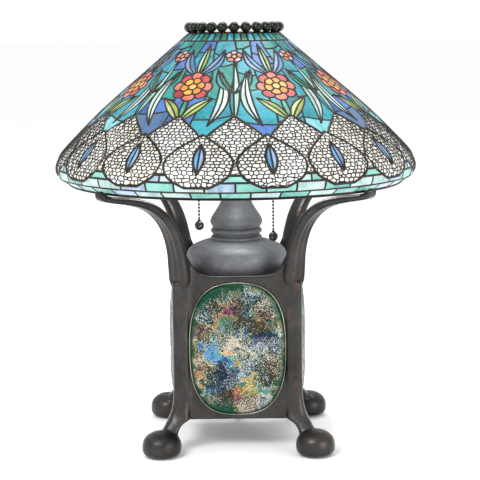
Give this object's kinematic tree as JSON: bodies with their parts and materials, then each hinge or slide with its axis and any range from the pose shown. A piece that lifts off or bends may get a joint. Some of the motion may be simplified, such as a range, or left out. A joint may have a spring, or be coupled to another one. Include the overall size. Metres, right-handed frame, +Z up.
{
  "type": "stained glass table lamp",
  "caption": "Table lamp with a leaded-glass shade on a cast four-post base with lighted glass tiles, hooked arms, two pull chains and a cord switch.",
  "frame": {"origin": "on the table under the lamp's centre", "axes": "+Z up, front faces -Y, +X to the right seen from the front"},
  "size_m": [0.4572, 0.4572, 0.5359],
  "materials": {
    "bronze": "satin",
    "pewter": "satin",
    "blackened_brass": "gloss",
    "teal_glass": "gloss",
    "net_glass": "gloss",
    "mint_glass": "gloss",
    "tile_glass": "gloss",
    "steel": "satin",
    "opal_bulb": "gloss",
    "black_plastic": "gloss",
    "cord_plastic": "matte",
    "felt": "matte"
  },
  "bodies": {
    "base": {"base_bulb": "opal_bulb", "base_socket": "black_plastic", "bottom_plate": "steel", "bowl": "pewter", "bulb_left": "opal_bulb", "bulb_right": "opal_bulb", "centre_tube": "steel", "cluster_finial": "blackened_brass", "cluster_hub": "blackened_brass", "cord_grommet": "black_plastic", "cord_lamp_side": "cord_plastic", "cord_plug_side": "cord_plastic", "corner_post_back_left": "bronze", "corner_post_back_right": "bronze", "corner_post_front_left": "bronze", "corner_post_front_right": "bronze", "foot_pad_back_left": "felt", "foot_pad_back_right": "felt", "foot_pad_front_left": "felt", "foot_pad_front_right": "felt", "glass_tile_back": "tile_glass", "glass_tile_front": "tile_glass", "glass_tile_left": "tile_glass", "glass_tile_right": "tile_glass", "neck_cone": "pewter", "neck_ring": "pewter", "plug": "cord_plastic", "shade_arm_back_left": "bronze", "shade_arm_back_right": "bronze", "shade_arm_front_left": "bronze", "shade_arm_front_right": "bronze", "side_panel_back": "bronze", "side_panel_front": "bronze", "side_panel_left": "bronze", "side_panel_right": "bronze", "socket_left": "blackened_brass", "socket_right": "blackened_brass", "switch_body": "black_plastic", "tile_bezel_back": "blackened_brass", "tile_bezel_front": "blackened_brass", "tile_bezel_left": "blackened_brass", "tile_bezel_right": "blackened_brass", "tile_retainer_back": "steel", "tile_retainer_front": "steel", "tile_retainer_left": "steel", "tile_retainer_right": "steel", "top_plate": "steel", "tube_nut": "steel"},
    "shade": {"shade_top_band": "blackened_brass", "shade_upper_glass": "teal_glass", "shade_filigree_band": "net_glass", "shade_brick_border": "mint_glass", "shade_rim_band": "blackened_brass", "shade_bead_ring": "blackened_brass"},
    "pull_chain_left": {"pull_chain_left": "blackened_brass"},
    "pull_chain_right": {"pull_chain_right": "blackened_brass"},
    "switch_wheel": {"switch_wheel": "black_plastic"}
  },
  "joints": [
    {"name": "shade_lift", "type": "slide", "parent": "base", "child": "shade", "axis": [0, 0, 1], "range_m": [0, 0.25]},
    {"name": "chain_pull_left", "type": "slide", "parent": "base", "child": "pull_chain_left", "axis": [0, 0, -1], "range_m": [0, 0.01], "stiffness_N_per_m": 200},
    {"name": "chain_pull_right", "type": "slide", "parent": "base", "child": "pull_chain_right", "axis": [0, 0, -1], "range_m": [0, 0.01], "stiffness_N_per_m": 200},
    {"name": "switch_turn", "type": "hinge", "parent": "base", "child": "switch_wheel", "pos_m": [0, 0.16, 0.0077], "axis": [0, 0, 1], "continuous": true}
  ]
}
